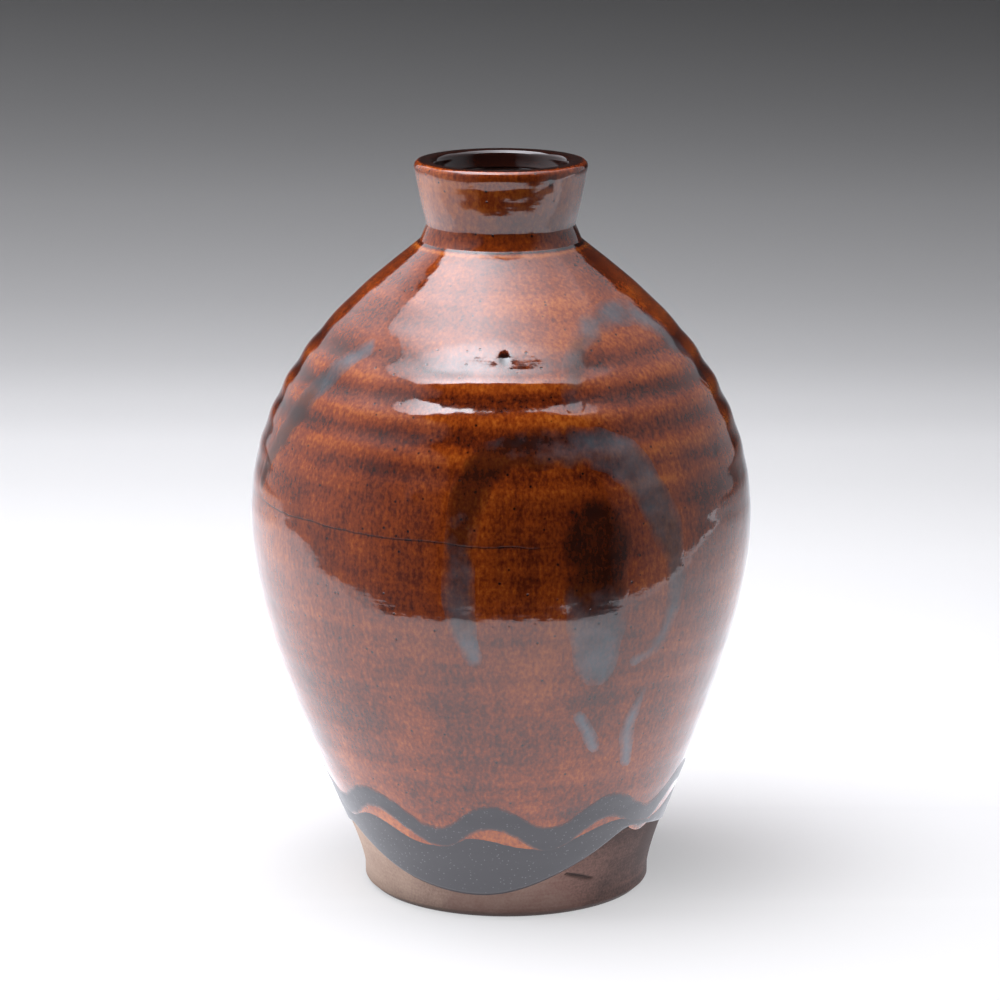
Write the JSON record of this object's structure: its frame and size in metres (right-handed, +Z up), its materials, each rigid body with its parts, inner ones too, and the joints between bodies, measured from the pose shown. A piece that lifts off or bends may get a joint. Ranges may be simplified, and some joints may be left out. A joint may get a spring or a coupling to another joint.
{
  "type": "sake bottle",
  "caption": "Wheel-thrown stoneware bottle with a round belly, a shallow ring foot and a short flared neck, under an amber glaze with trailed dark slip",
  "frame": {"origin": "centre of the foot ring, on the plane it stands on", "axes": "+Z up along the throwing axis, -Y towards the front with the looped trail, +X to the right seen from the front"},
  "size_m": [0.109, 0.1088, 0.16],
  "materials": {
    "bare_clay": "unglazed brown-grey stoneware, matt and slightly gritty, with fine turning lines",
    "collar_clay": "unglazed brown-grey stoneware, all of it under glaze",
    "lining": "gloss, near-black brown iron glaze",
    "amber_glaze": "high gloss, translucent red-brown to amber, finely mottled and streaked",
    "foot_slip": "satin, dark blue-grey with pale specks",
    "trailed_slip": "gloss, blue-black iron slip with soft edges"
  },
  "bodies": {
    "root": {"clay_body": "bare_clay", "neck_collar": "collar_clay", "liner_glaze": "lining", "amber_glaze": "amber_glaze", "foot_band": "foot_slip", "wave_trail": "trailed_slip", "front_trail": "trailed_slip", "side_trail": "trailed_slip"}
  },
  "joints": []
}
